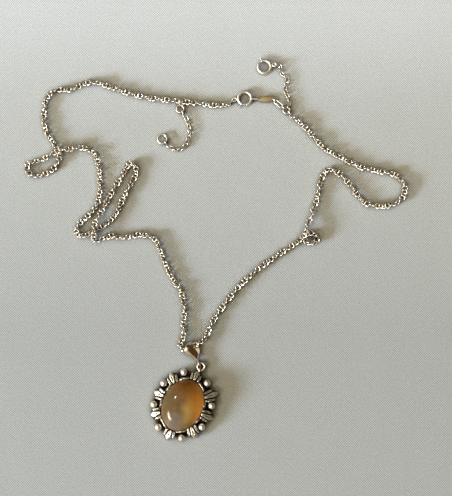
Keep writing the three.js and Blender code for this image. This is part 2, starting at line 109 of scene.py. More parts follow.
def add_mesh(name, vertices, faces, material, smooth=True):
    """A new object from vertices in millimetres, in the row frame."""
    mesh = bpy.data.meshes.new(name)
    mesh.from_pydata([tuple(c * MM for c in v) for v in vertices], [], faces)
    mesh.validate()
    mesh.update()
    obj = bpy.data.objects.new(name, mesh)
    bpy.context.scene.collection.objects.link(obj)
    obj.data.materials.append(material)
    for polygon in mesh.polygons:
        polygon.use_smooth = smooth
    return obj


def stands_for(obj, *nodes, slot=None):
    """Hides the CAD nodes that obj is the real look of, and puts it on their body."""
    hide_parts(*nodes)
    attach(obj, BODY_OF[nodes[0]])


def quads(rows, count, closed=False):
    """Faces between each row of count points and the next; closed joins the last row to the first."""
    faces = []
    for i in range(rows if closed else rows - 1):
        j = (i + 1) % rows
        for k in range(count):
            m = (k + 1) % count
            faces.append((i * count + k, i * count + m, j * count + m, j * count + k))
    return faces


def ringed_solid(rings, bottom, top):
    """Vertices and faces of a solid over closed rings of points, with a fan to a point at each end."""
    count = len(rings[0])
    vertices = [point for ring in rings for point in ring]
    faces = quads(len(rings), count)
    last = len(vertices) - count
    for k in range(count):
        m = (k + 1) % count
        faces.append((len(vertices), m, k))
        faces.append((len(vertices) + 1, last + k, last + m))
    return vertices + [bottom, top], faces


def sweep(centres, sides_in, section, closed):
    """Quads over sections at each centre; sides_in gives two unit vectors, section radius pairs."""
    vertices = []
    count = len(section[0])
    for i, centre in enumerate(centres):
        a, b = sides_in[i]
        for x, y in section[i % len(section)]:
            vertices.append(centre + x * a + y * b)
    rows = len(centres)
    faces = quads(rows, count, closed)
    if not closed:
        faces.append(tuple(reversed(range(count))))
        faces.append(tuple((rows - 1) * count + k for k in range(count)))
    return vertices, faces


def circle(radius, sides):
    return [(radius * math.cos(TAU * k / sides), radius * math.sin(TAU * k / sides)) for k in range(sides)]


def oval_wire(length, width, wire, steps, sides, lift=0.0, bulge=0.0):
    """A closed wire link in its own frame, long along X; lift twists it into a curb link."""
    radius = (width - wire) / 2
    straight = (length - width) / 2
    centres, axes, sections = [], [], []
    for i in range(steps):
        angle = TAU * (i + 0.5) / steps
        c, s = math.cos(angle), math.sin(angle)
        x = radius * c + math.copysign(straight, c) if straight > 0 else (length - wire) / 2 * c
        centres.append(np.array([x, radius * s, lift * math.sin(2 * angle)]))
        axes.append((np.array([c, s, 0.0]), np.array([0.0, 0.0, 1.0])))
        seam = bulge * math.exp(-((angle - TAU * 0.75) / 0.16) ** 2)
        sections.append(circle(wire / 2 * (1 + seam), sides))
    return sweep(centres, axes, sections, closed=True)


def catmull_rom(points, rest_z, steps=16):
    """Points along the smooth curve through a route, and how far along each one is."""
    p = [np.array([q[0], q[1], q[2] if len(q) > 2 else rest_z], float) for q in points]
    p = [2 * p[0] - p[1]] + p + [2 * p[-1] - p[-2]]
    curve = []
    for i in range(1, len(p) - 2):
        for k in range(steps):
            t = k / steps
            a, b = 0.5 * (p[i + 1] - p[i - 1]), 0.5 * (p[i + 2] - p[i])
            curve.append((2 * t ** 3 - 3 * t ** 2 + 1) * p[i] + (t ** 3 - 2 * t ** 2 + t) * a
                         + (3 * t ** 2 - 2 * t ** 3) * p[i + 1] + (t ** 3 - t ** 2) * b)
    curve.append(p[-2])
    curve = np.array(curve)
    along = np.concatenate([[0], np.cumsum(np.linalg.norm(np.diff(curve, axis=0), axis=1))])
    return curve, along


def at(curve, along, s):
    """The point and unit tangent at a distance s, straight on past either end."""
    def point(d):
        if d < 0:
            return curve[0] + d * (curve[1] - curve[0]) / along[1]
        if d > along[-1]:
            return curve[-1] + (d - along[-1]) * (curve[-1] - curve[-2]) / (along[-1] - along[-2])
        return np.array([np.interp(d, along, curve[:, i]) for i in range(3)])
    tangent = point(s + 0.3) - point(s - 0.3)
    return point(s), tangent / np.linalg.norm(tangent)


def upright_frame(tangent, roll):
    """Width and normal directions of a ribbon that runs along tangent, rolled from lying flat."""
    side = np.cross(tangent, [0.0, 0.0, 1.0])
    side /= np.linalg.norm(side)
    up = np.cross(side, tangent)
    return math.cos(roll) * side + math.sin(roll) * up, -math.sin(roll) * side + math.cos(roll) * up


def place_links(link, frames):
    """Copies of one link's vertices and faces, each put at (centre, x, y, z)."""
    base, faces_in = link
    base = np.array(base)
    vertices, faces = [], []
    for centre, x, y, z in frames:
        start = len(vertices)
        vertices.extend(centre + base @ np.array([x, y, z]))
        faces.extend(tuple(start + k for k in face) for face in faces_in)
    return vertices, faces


# ---- Material helpers ---------------------------------------------------------------------------

class Shader:
    """Short calls that build one material's node tree."""

    def __init__(self, name):
        self.material = bpy.data.materials.new(name)
        self.material.use_nodes = True
        self.tree = self.material.node_tree
        self.bsdf = self.tree.nodes["Principled BSDF"]
        self.position = self.add("ShaderNodeTexCoord").outputs["Object"]

    def add(self, kind, settings=None, **inputs):
        node = self.tree.nodes.new(kind)
        for key, value in (settings or {}).items():
            setattr(node, key, value)
        for key, value in inputs.items():
            self.plug(node.inputs[key.replace("_", " ")], value)
        return node

    def plug(self, socket, value):
        if isinstance(value, bpy.types.NodeSocket):
            self.tree.links.new(value, socket)
        else:
            socket.default_value = value

    def math(self, operation, a, b=0.0):
        node = self.add("ShaderNodeMath", {"operation": operation})
        self.plug(node.inputs[0], a)
        self.plug(node.inputs[1], b)
        return node.outputs[0]

    def vector(self, operation, *values):
        node = self.add("ShaderNodeVectorMath", {"operation": operation})
        for socket, value in zip(node.inputs, values):
            self.plug(socket, value)
        return node.outputs["Value" if operation == "LENGTH" else "Vector"]

    def noise(self, size_mm, detail=4.0, roughness=0.55, distortion=0.0):
        node = self.add("ShaderNodeTexNoise", Vector=self.position, Scale=1000 / size_mm,
                        Detail=detail, Roughness=roughness, Distortion=distortion)
        return node.outputs["Fac"]

    def level(self, factor, low, high, to_low=0.0, to_high=1.0, smooth=True):
        node = self.add("ShaderNodeMapRange", {"interpolation_type": "SMOOTHSTEP" if smooth else "LINEAR"})
        for socket, value in zip(node.inputs, (factor, low, high, to_low, to_high)):
            self.plug(socket, value)
        return node.outputs["Result"]

    def mix(self, factor, a, b, blend="MIX"):
        node = self.add("ShaderNodeMix", {"data_type": "RGBA", "blend_type": blend})
        self.plug(node.inputs[0], factor)
        for index, value in ((6, a), (7, b)):
            is_color = not isinstance(value, bpy.types.NodeSocket)
            self.plug(node.inputs[index], (*value, 1.0) if is_color else value)
        return node.outputs[2]

    def occlusion(self, reach_mm):
        node = self.add("ShaderNodeAmbientOcclusion", {"samples": 8}, Distance=reach_mm * MM)
        return node.outputs["AO"]

    def finish(self, **sockets):
        for key, value in sockets.items():
            self.plug(self.bsdf.inputs[key.replace("_", " ")], value)
        return self.material

    def bump(self, height, depth_mm, strength=1.0):
        node = self.add("ShaderNodeBump", Height=height, Strength=strength, Distance=depth_mm * MM)
        return node.outputs["Normal"]


def worn_metal(name, bright, dark, reach=0.8, low=0.35, high=0.85, rough=0.2, grain=0.25, depth=0.012):
    """Polished metal that is bright where hands rub it and dark in every recess."""
    s = Shader(name)
    open_air = s.occlusion(reach)
    patches = s.noise(1.6, detail=5)
    cleaned = s.math("ADD", open_air, s.math("MULTIPLY", s.math("SUBTRACT", patches, 0.5), 0.5))
    polish = s.level(cleaned, low, high)
    cast = s.noise(3.5, detail=3)
    warm = s.mix(s.level(cast, 0.35, 0.7), bright, tuple(c * f for c, f in zip(bright, (0.95, 0.9, 0.8))))
    color = s.mix(polish, dark, warm)
    scratches = s.noise(grain, detail=6, roughness=0.7)
    roughness = s.math("ADD", s.level(polish, 0.0, 1.0, 0.55, rough), s.math("MULTIPLY", scratches, 0.12))
    height = s.math("ADD", s.math("MULTIPLY", patches, 0.6), scratches)
    return s.finish(Base_Color=color, Metallic=1.0, Roughness=roughness, Normal=s.bump(height, depth))


def amber_material():
    """Translucent brown amber: honey at one edge, brightened there with painted light shining through, a painted
    glow on that side, and a milky streak and a mauve-grey cloud inside.
    """
    s = Shader("amber")
    millimetres = s.vector("DIVIDE", s.position, (MM, MM, MM))
    wander = s.add("ShaderNodeTexNoise", Vector=s.position, Scale=160.0, Detail=5.0, Roughness=0.6)
    centred = s.vector("SUBTRACT", wander.outputs["Color"], (0.5, 0.5, 0.5))
    place = s.vector("MULTIPLY_ADD", centred, (5.0, 5.0, 0.0), millimetres)

    def cloud(x, y, across, along, strength=1.0):
        """A soft oval patch round a place on the stone, in millimetres."""
        shifted = s.vector("SUBTRACT", place, (x, y, 0))
        scaled = s.vector("MULTIPLY", shifted, (1 / across, 1 / along, 0))
        return s.math("MULTIPLY", s.level(s.vector("LENGTH", scaled), 1.4, 0.15), strength)

    color = s.mix(cloud(1, 10, 7, 7), (0.115, 0.058, 0.012), (0.15, 0.052, 0.006))
    color = s.mix(cloud(3, 4, 4, 5, 0.7), color, (0.26, 0.105, 0.016))
    # The honey edge is brightened past the stone's own colour: painted light shining through from the lamps' side.
    color = s.mix(cloud(9.5, 0.0, 6.5, 11), color, (0.95, 0.34, 0.02))
    color = s.mix(cloud(1.8, -2.6, 2.6, 4.5, 0.85), color, (0.44, 0.29, 0.075))
    color = s.mix(cloud(-1.0, -6.0, 3.2, 3.5, 0.8), color, (0.25, 0.17, 0.075))
    color = s.mix(cloud(-3.2, -5.4, 2.8, 3.4, 0.85), color, (0.14, 0.10, 0.068))
    color = s.mix(cloud(-6.5, 1.5, 3.2, 6, 0.7), color, (0.085, 0.052, 0.016))
    # An emitted glow on the side away from the lamps: painted light shining through the stone.
    painted_glow = s.mix(cloud(6.3, -2.5, 5.5, 9), (0, 0, 0), (0.17, 0.085, 0.018))
    flecks = s.level(s.noise(1.3, detail=6, roughness=0.7, distortion=0.6), 0.5, 0.75)
    color = s.mix(s.math("MULTIPLY", flecks, 0.35), color, (0.10, 0.05, 0.02))
    wisps = s.level(s.noise(3.0, detail=6, roughness=0.65, distortion=2.0), 0.52, 0.72)
    color = s.mix(s.math("MULTIPLY", wisps, 0.35), color, (0.40, 0.26, 0.12))
    ripples = s.bump(s.noise(5, detail=2), 0.02)
    return s.finish(Base_Color=color, Roughness=0.08, IOR=1.5, Subsurface_Weight=0.5,
                    Subsurface_Radius=(4.0, 1.8, 0.6), Subsurface_Scale=0.001, Normal=ripples,
                    Emission_Color=painted_glow, Emission_Strength=1.0)


def cloth_material():
    """Pale plain-woven cloth under the necklace, with painted light and a painted glow towards its far side and
    painted contact shadow round the necklace.
    """
    s = Shader("floor_cloth")
    threads = []
    for direction in ("X", "Y"):
        wave = s.add("ShaderNodeTexWave", {"wave_type": "BANDS", "bands_direction": direction},
                     Vector=s.position, Scale=375.0, Distortion=3.0, Detail=3.0, Detail_Scale=0.8)
        threads.append(s.math("SUBTRACT", wave.outputs["Fac"], 0.5))
    weave = s.math("MULTIPLY", s.math("MULTIPLY", *threads), 4.0)
    fuzz = s.noise(0.9, detail=6, roughness=0.8)
    slubs = s.noise(9.0, detail=3)
    grain = s.noise(0.55, detail=4, roughness=0.75)
    height = s.math("ADD", fuzz, s.math("MULTIPLY", grain, 0.5))
    height = s.math("ADD", s.math("MULTIPLY", weave, 0.3), height)
    height = s.math("ADD", height, s.math("MULTIPLY", slubs, 3.0))
    mottle = s.math("ADD", s.math("MULTIPLY", weave, 0.55), s.math("MULTIPLY", grain, 1.1))
    mottle = s.math("ADD", mottle, s.math("MULTIPLY", fuzz, 0.4))
    tone = s.mix(s.level(mottle, 0.1, 1.4), (0.265, 0.266, 0.228), (0.70, 0.695, 0.60))
    # Painted contact shadow: warm brown darkening of the cloth wherever the necklace crowds it.
    painted_contact_shadow = s.mix(s.level(s.occlusion(4.0), 0.34, 0.94), (0.07, 0.045, 0.022), (1, 1, 1))
    painted_shadow_cloth = s.mix(1.0, tone, painted_contact_shadow, "MULTIPLY")
    # Painted light: the cloth's colour is brighter towards the far side and, a little, towards the right.
    axes = s.add("ShaderNodeSeparateXYZ", Vector=s.position)
    ahead = s.level(axes.outputs["Y"], -0.025, 0.115, 0.89, 1.33, smooth=False)
    beyond = s.level(axes.outputs["Y"], 0.06, 0.09, 1.0, 1.04, smooth=False)
    aside = s.level(axes.outputs["X"], -0.05, 0.09, 0.935, 0.99, smooth=False)
    lit = s.math("MULTIPLY", s.math("MULTIPLY", ahead, beyond), aside)
    shaded = s.mix(1.0, painted_shadow_cloth, lit, "MULTIPLY")
    # A faint painted glow that the cloth emits towards its far side.
    painted_far_glow = s.mix(s.level(axes.outputs["Y"], 0.045, 0.09), (0, 0, 0), (0.06, 0.066, 0.09))
    return s.finish(Base_Color=shaded, Roughness=0.95, Normal=s.bump(height, 0.1, 0.5),
                    Emission_Color=painted_far_glow, Emission_Strength=1.0)


BRIGHT = (0.95, 0.92, 0.87)
SILVER = worn_metal("silver_worn", BRIGHT, (0.10, 0.07, 0.045), reach=1.0, low=0.45, high=0.9, rough=0.22)
BAIL_SILVER = worn_metal("silver_bail", (0.96, 0.84, 0.76), (0.12, 0.08, 0.05),
                         reach=0.8, low=0.3, high=0.8, rough=0.12, depth=0.004)
LEAF_SILVER = worn_metal("silver_leaf", BRIGHT, (0.016, 0.009, 0.005),
                         reach=0.9, low=0.55, high=0.92, rough=0.24)
BEAD_SILVER = worn_metal("silver_bead", (0.95, 0.93, 0.89), (0.10, 0.075, 0.05),
                         reach=1.2, low=0.3, high=0.75, rough=0.36, depth=0.02)
BLACK_SILVER = worn_metal("silver_oxidised", (0.10, 0.075, 0.055), (0.010, 0.006, 0.003),
                          reach=1.5, low=0.6, high=1.1, rough=0.5, depth=0.05)
CHAIN_SILVER = worn_metal("silver_chain", (0.93, 0.89, 0.82), (0.05, 0.032, 0.015),
                          reach=0.5, low=0.25, high=0.65, rough=0.24)
# Painted shade: near-black all over, for the inner links that fill the chain's holes.
CHAIN_PAINTED_SHADE = worn_metal("silver_chain_inner_painted_shade", (0.06, 0.042, 0.024), (0.02, 0.013, 0.007),
                         reach=0.9, low=0.5, high=1.0, rough=0.6)
CLASP_SILVER = worn_metal("silver_clasp", (0.93, 0.90, 0.85), (0.16, 0.12, 0.08),
                          reach=0.5, low=0.25, high=0.7, rough=0.34)
GOLD = worn_metal("gold_plate", (0.62, 0.53, 0.34), (0.22, 0.14, 0.05),
                  reach=0.4, low=0.3, high=0.8, rough=0.28)
STEEL = worn_metal("spring_steel", (0.62, 0.62, 0.6), (0.2, 0.19, 0.17), reach=0.3, rough=0.3)
AMBER = amber_material()
CLOTH = cloth_material()
MATERIAL_OF_SLOT = {
    "silver": SILVER, "bezel_silver": SILVER, "oxidised_silver": BLACK_SILVER, "chain_silver": CHAIN_SILVER,
    "clasp_silver": CLASP_SILVER, "gold": GOLD, "amber": AMBER, "spring_steel": STEEL,
}


# ---- Camera -------------------------------------------------------------------------------------

def make_camera():
    data = bpy.data.cameras.new("camera")
    data.lens = 85
    data.sensor_width = 36
    view_height = 174.6 * MM                     # the table's height in the picture
    elevation = math.radians(87)
    target = Vector((15.1, 54.8, 0)) * MM
    distance = data.lens / data.sensor_width * view_height
    camera = bpy.data.objects.new("camera", data)
    back = Vector((0, -math.cos(elevation), math.sin(elevation)))
    camera.location = target + back * distance
    camera.rotation_euler = (math.pi / 2 - elevation, 0, 0)
    data.clip_start, data.clip_end = 0.01, 10
    bpy.context.scene.collection.objects.link(camera)
    bpy.context.scene.camera = camera


# ---- Chains -------------------------------------------------------------------------------------

def make_main_chain():
    curve, along = catmull_rom(MAIN_ROUTE, CHAIN_RADIUS)
    end_slack = 0.15
    count = round((along[-1] - 2 * end_slack) / CHAIN_PITCH)
    wave = random.Random(7).uniform(0, TAU)
    fold = np.array(JOINT["bail_swing"]["pos_m"]) / MM
    frames, path = [], []
    for i in range(count + 1):
        s = end_slack + (along[-1] - 2 * end_slack) * i / count
        centre, tangent = at(curve, along, s)
        roll = TAU * s / CHAIN_TWIST + 1.1 * math.sin(TAU * s / 47 + wave) + 0.4 * math.sin(TAU * s / 29)
        x_width, normal = upright_frame(tangent, roll + LINK_LEAN * (-1) ** i)
        half = 0.12 + max(math.hypot(CHAIN_HALF_WIDTH * math.sin(r), CHAIN_HALF_THICKNESS * math.cos(r))
                          for r in (roll - LINK_LEAN, roll + LINK_LEAN))
        centre[2] = half + HUMP * (centre[2] - CHAIN_RADIUS)
        held = min(1.0, max(0.0, 2 - np.linalg.norm(centre[:2] - fold[:2]) / 3))
        centre[2] += held * (fold[2] - centre[2])
        frames.append((centre, tangent, x_width, normal))
        path.append(centre * MM)
    link = oval_wire(CHAIN_PITCH + 4.2 * CHAIN_WIRE, 2 * CHAIN_HALF_WIDTH, 2 * CHAIN_WIRE, 24, 8, lift=0.22)
    vertices, faces = place_links(link, frames)
    # A second link lies inside each pair and joins them; its near-black colour is painted shade for the chain's
    # holes.
    inner = oval_wire(1.2, 0.62, 0.26, 14, 6)
    between = []
    for (c0, t0, x0, _), (c1, t1, x1, _) in zip(frames, frames[1:]):
        ahead = (t0 + t1) / np.linalg.norm(t0 + t1)
        broad = x0 + x1 - ahead * np.dot(x0 + x1, ahead)
        broad /= np.linalg.norm(broad)
        between.append(((c0 + c1) / 2, ahead, broad, np.cross(ahead, broad)))
    core = add_mesh("chain_inner_links", *place_links(inner, between), CHAIN_PAINTED_SHADE)
    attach(core, BODY_OF["main_chain"])
    # One extra link hangs the safety chain's ring from the chain.
    low, high = (np.array(c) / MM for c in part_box("safety_ring"))
    hook_at = np.array([(low[0] + high[0]) / 2, high[1] + 0.45, 1.0])
    hook = oval_wire(2.3, 1.45, 0.36, 20, 8)
    start = len(vertices)
    upright = (hook_at, np.array([0.1, 1, 0]), np.array([0, 0, 1.0]), np.array([1.0, 0, 0]))
    more, more_faces = place_links(hook, [upright])
    vertices += more
    faces += [tuple(start + k for k in face) for face in more_faces]
    chain = add_mesh("twisted_chain", vertices, faces, CHAIN_SILVER)
    stands_for(chain, "main_chain")


def make_tail(name, node, route, past_end, seed):
    """A short cable chain of small oval links that lean to either side in turn."""
    curve, along = catmull_rom(route, 0.75)
    first, last = -0.1, along[-1] + past_end
    count = round((last - first) / TAIL_PITCH)
    rng = random.Random(seed)
    frames = []
    for i in range(count + 1):
        centre, tangent = at(curve, along, first + (last - first) * i / count)
        lean = math.radians(45) * (-1) ** i + rng.uniform(-0.25, 0.25)
        width, normal = upright_frame(tangent, lean)
        frames.append((centre, tangent, width, normal))
    link = oval_wire(TAIL_LINK[0], TAIL_LINK[1], 2 * TAIL_WIRE, 24, 8)
    obj = add_mesh(name, *place_links(link, frames), CHAIN_SILVER)
    stands_for(obj, node)


# ---- Rings and links, rebuilt from their CAD nodes ----------------------------------------------

def own_axes(node):
    """A CAD node's centre, its long, middle and short directions, and its size along each."""
    points = np.array([v.co for v in frame["nodes"][node].data.vertices]) / MM
    mean = points.mean(axis=0)
    _, vectors = np.linalg.eigh(np.cov((points - mean).T))
    axes = vectors[:, ::-1].T
    axes[2] = np.cross(axes[0], axes[1])
    seen = (points - mean) @ axes.T
    low, high = seen.min(axis=0), seen.max(axis=0)
    return mean + ((low + high) / 2) @ axes, axes, high - low


WIRE_NODES = [
    "jump_ring", "frame_loop", "bail_eye", "chain_end_link_left", "chain_end_link_right", "clasp_loop",
    "tag_link", "extension_link_1", "extension_link_2", "extension_link_3", "end_ring", "safety_ring",
    "safety_end_ring", "safety_link_1", "safety_link_2", "safety_link_3", "safety_link_4",
    "safety_clasp_loop",
]
# These four come close to their neighbours at the ends of their travel.
SLIM_WIRES = ["frame_loop", "chain_end_link_left", "clasp_loop", "safety_end_ring"]


def make_wire_pieces():
    """Closed wire links and rings, each with a slight seam where its ends were soldered."""
    for node in WIRE_NODES:
        centre, axes, size = own_axes(node)
        thicker = 1.0 if node in SLIM_WIRES else 1.15
        wire = oval_wire(size[0], size[1], size[2] * thicker, 72, 18, bulge=0.1)
        material = MATERIAL_OF_SLOT[SLOT_OF[node]]
        obj = add_mesh(node + "_wire", *place_links(wire, [(centre, *axes)]), material)
        stands_for(obj, node)


# ---- Bolt rings ---------------------------------------------------------------------------------

BORE = 0.27                          # inside radius of a bolt ring's tube
BOLT = 0.18                          # wire radius of its latch
COIL = 0.226                         # mean radius of its spring
COIL_WIRE = 0.026
UP = np.array([0.0, 0.0, 1.0])


def outward(angle):
    return np.array([math.cos(angle), math.sin(angle), 0.0])


def make_bolt_ring(prefix):
    """A hollow spring ring: slotted body, wire latch with its thumb nub, and a coil spring inside."""
    centre = np.array(JOINT[prefix + "_latch_slide"]["pos_m"]) / MM
    latch = np.array([v.co for v in frame["nodes"][prefix + "_latch"].data.vertices]) / MM
    tip = latch[np.argmax(np.linalg.norm(latch - centre, axis=1))]
    nub = math.atan2(tip[1] - centre[1], tip[0] - centre[0])
    reach = np.linalg.norm(tip[:2] - centre[:2])
    low, high = (np.array(c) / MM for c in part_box(prefix + "_body"))
    tube = (high[2] - low[2]) / 2 + 0.1
    radius = max(high[0] - centre[0], centre[0] - low[0]) - tube
    make_ring_tube(prefix, centre, radius, tube, nub)
    make_latch(prefix, centre, radius, reach, nub)
    make_spring(prefix, centre, radius, nub)
    make_loop_solder(prefix, centre, radius + tube)


def make_ring_tube(prefix, centre, radius, tube, nub):
    """A ring-shaped tube whose wall is slit on its outer side, opened out at the nub's slot."""
    start, end = math.radians(42), math.radians(366)
    slot_from, slot_to = math.radians(318), math.radians(364)
    rows = 150
    centres, axes, sections = [], [], []
    for i in range(rows + 1):
        turn = start + (end - start) * i / rows
        into = min(turn - slot_from, slot_to - turn)
        open_half = 0.01 + 0.74 * min(1.0, max(0.0, into / 0.06)) ** 0.5
        chamfer = 1 - 0.1 * max(0.0, 1 - min(i, rows - i) / 2)
        outer = [(open_half + (TAU - 2 * open_half) * k / 26) for k in range(27)]
        section = [(tube * chamfer * math.cos(a), tube * chamfer * math.sin(a)) for a in outer]
        inner_half = min(1.2, open_half * tube / BORE * 0.9)
        inner = [(inner_half + (TAU - 2 * inner_half) * k / 18) for k in range(18, -1, -1)]
        section += [(BORE * math.cos(a), BORE * math.sin(a)) for a in inner]
        centres.append(centre + radius * outward(nub + turn))
        axes.append((outward(nub + turn), UP))
        sections.append(section)
    body = add_mesh(prefix + "_tube", *sweep(centres, axes, sections, closed=False), CLASP_SILVER)
    stands_for(body, prefix + "_body")
    soften(body, 40)


def make_latch(prefix, centre, radius, reach, nub):
    """A wire arc with rounded ends, and the nub that stands out through the slot."""
    centres, axes, sections = [], [], []
    rows = 40
    for i in range(rows + 1):
        angle = nub + math.radians(-10 + 56 * i / rows)
        edge = min(i, rows - i) / 3
        centres.append(centre + radius * outward(angle))
        axes.append((outward(angle), UP))
        sections.append(circle(BOLT * min(1.0, 0.55 + 0.45 * edge), 16))
    vertices, faces = sweep(centres, axes, sections, closed=False)
    out = outward(nub)
    profile = [(radius, 0.2), (reach - 0.75, 0.2), (reach - 0.62, 0.24), (reach - 0.52, 0.34),
               (reach - 0.35, 0.38), (reach - 0.15, 0.35), (reach - 0.04, 0.22), (reach, 0.08)]
    peg, peg_faces = sweep(
        [centre + r * out for r, _ in profile], [(np.cross(UP, out), UP)] * len(profile),
        [circle(size, 18) for _, size in profile], closed=False)
    start = len(vertices)
    vertices += peg
    faces += [tuple(start + k for k in face) for face in peg_faces]
    latch = add_mesh(prefix + "_bolt", vertices, faces, CLASP_SILVER)
    stands_for(latch, prefix + "_latch")
    soften(latch, 40)


def make_spring(prefix, centre, radius, nub):
    """A fine coil wound round the bore's own arc, wide enough for the latch to slide inside it."""
    turns, per_turn = 20, 16
    centres = []
    for i in range(turns * per_turn + 1):
        t = i / (turns * per_turn)
        angle = nub + math.radians(-88 + 76 * t)
        wind = TAU * turns * t
        across, above = COIL * math.cos(wind), COIL * math.sin(wind)
        centres.append(centre + (radius + across) * outward(angle) + above * UP)
    axes = []
    for i, _ in enumerate(centres):
        ahead = centres[min(i + 1, len(centres) - 1)] - centres[max(i - 1, 0)]
        ahead /= np.linalg.norm(ahead)
        side = np.cross(ahead, UP)
        side /= np.linalg.norm(side)
        axes.append((side, np.cross(side, ahead)))
    coil = add_mesh(prefix + "_coil", *sweep(centres, axes, [circle(COIL_WIRE, 6)], closed=False), STEEL)
    stands_for(coil, prefix + "_spring")


def make_loop_solder(prefix, centre, rim):
    """Solder where the small loop meets the ring."""
    loop, _, _ = own_axes(prefix + "_loop")
    angle = math.atan2(loop[1] - centre[1], loop[0] - centre[0])
    place = centre + (rim + 0.05) * outward(angle)
    blob = ball(prefix + "_solder", place, (0.26, 0.42, 0.27), angle, CLASP_SILVER)
    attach(blob, BODY_OF[prefix + "_body"])


def soften(obj, angle_deg):
    """Smooth shading that keeps real edges crisp."""
    mesh = obj.data
    bm = bmesh.new()
    bm.from_mesh(mesh)
    bmesh.ops.recalc_face_normals(bm, faces=bm.faces)
    for edge in bm.edges:
        if len(edge.link_faces) == 2:
            edge.smooth = edge.calc_face_angle(0) < math.radians(angle_deg)
    bm.to_mesh(mesh)
    bm.free()


def ball(name, centre, radii, turn, material, detail=4):
    bm = bmesh.new()
    bmesh.ops.create_icosphere(bm, subdivisions=detail, radius=1.0)
    cos, sin = math.cos(turn), math.sin(turn)
    vertices = []
    for v in bm.verts:
        x, y, z = v.co.x * radii[0], v.co.y * radii[1], v.co.z * radii[2]
        vertices.append((centre[0] + x * cos - y * sin, centre[1] + x * sin + y * cos, centre[2] + z))
    faces = [tuple(v.index for v in f.verts) for f in bm.faces]
    bm.free()
    return add_mesh(name, vertices, faces, material)


# ---- Tag ----------------------------------------------------------------------------------------

def make_tag():
    """An oval plate with two punched holes and rounded edges."""
    centre, axes, size = own_axes("tag")
    bevel, hole_at, hole = 0.13, 2.15, 0.27
    data = bpy.data.curves.new("tag_outline", "CURVE")
    data.dimensions = "2D"
    data.fill_mode = "BOTH"
    data.extrude = (size[2] / 2 - bevel) * MM
    data.bevel_depth = bevel * MM
    data.bevel_resolution = 3
    rings = [[((size[0] / 2 - bevel) * math.cos(a),
               (size[1] / 2 + 0.08 - bevel) * math.sin(a) * (0.6 + 0.4 * abs(math.sin(a))))
              for a in (TAU * k / 96 for k in range(96))]]
    for side in (-1, 1):
        rings.append([(side * hole_at + x, y) for x, y in circle(hole, 32)])
    for ring in rings:
        spline = data.splines.new("POLY")
        spline.points.add(len(ring) - 1)
        spline.use_cyclic_u = True
        for point, (x, y) in zip(spline.points, ring):
            point.co = (x * MM, y * MM, 0, 1)
    source = bpy.data.objects.new("tag_outline", data)
    bpy.context.scene.collection.objects.link(source)
    mesh = bpy.data.meshes.new_from_object(source.evaluated_get(bpy.context.evaluated_depsgraph_get()))
    bpy.data.objects.remove(source)
    bm = bmesh.new()
    bm.from_mesh(mesh)
    bmesh.ops.remove_doubles(bm, verts=bm.verts, dist=1e-7)
    bm.normal_update()
    points = np.array([v.co for v in bm.verts]) / MM
    if np.dot(axes[2], [0, 0, 1]) < 0:
        axes = np.array([axes[0], -axes[1], -axes[2]])
    vertices = centre + points @ axes
    faces = [tuple(v.index for v in f.verts) for f in bm.faces]
    bm.free()
    tag = add_mesh("tag_plate", vertices, faces, GOLD)
    soften(tag, 30)
    stands_for(tag, "tag")


# ---- Bail ---------------------------------------------------------------------------------------

def teardrop(big, big_radius, small, small_radius, count):
    """Points round two circles wrapped by straight tangents, starting on the big one."""
    (ax, ay), (bx, by) = big, small
    axis = math.atan2(by - ay, bx - ax)
    opening = math.acos((big_radius - small_radius) / math.hypot(bx - ax, by - ay))
    corners = []
    for k in range(40):
        a = axis + opening + (TAU - 2 * opening) * k / 39
        corners.append((ax + big_radius * math.cos(a), ay + big_radius * math.sin(a)))
    for k in range(16):
        a = axis - opening + 2 * opening * k / 15
        corners.append((bx + small_radius * math.cos(a), by + small_radius * math.sin(a)))
    loop = np.array(corners + corners[:1])
    along = np.concatenate([[0], np.cumsum(np.linalg.norm(np.diff(loop, axis=0), axis=1))])
    places = np.linspace(0, along[-1], count, endpoint=False)
    return np.array([[np.interp(p, along, loop[:, 0]), np.interp(p, along, loop[:, 1])] for p in places])


